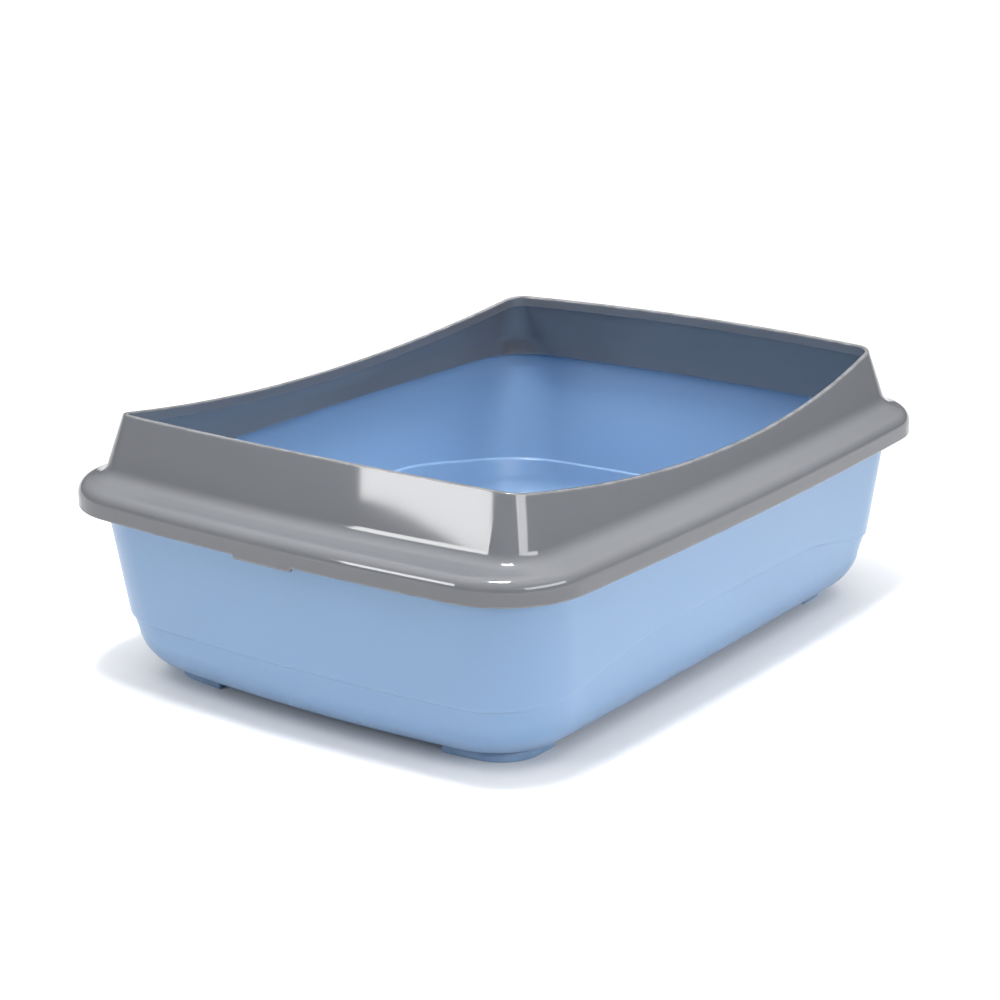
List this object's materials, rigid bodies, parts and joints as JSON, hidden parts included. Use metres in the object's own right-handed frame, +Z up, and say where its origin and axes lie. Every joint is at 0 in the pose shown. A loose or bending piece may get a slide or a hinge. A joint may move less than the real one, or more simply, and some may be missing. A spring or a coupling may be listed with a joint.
{
  "type": "cat litter pan",
  "caption": "Open cat litter pan: a stepped, rounded tray on low feet with a lift-off raised rim that leans in and dips along both long sides.",
  "frame": {"origin": "on the floor, under the middle of the pan", "axes": "+Z up; the long sides run along Y and the front short end faces -Y"},
  "size_m": [0.3564, 0.4798, 0.1646],
  "materials": {
    "tray_plastic": "light blue satin plastic, taken to be polypropylene",
    "rim_plastic": "mid grey glossy plastic, taken to be polypropylene"
  },
  "bodies": {
    "tray": {"tray": "tray_plastic"},
    "rim": {"rim": "rim_plastic"}
  },
  "joints": [
    {"name": "rim_lift", "type": "slide", "parent": "tray", "child": "rim", "axis": [0, 0, 1], "range_m": [0, 0.12]}
  ]
}
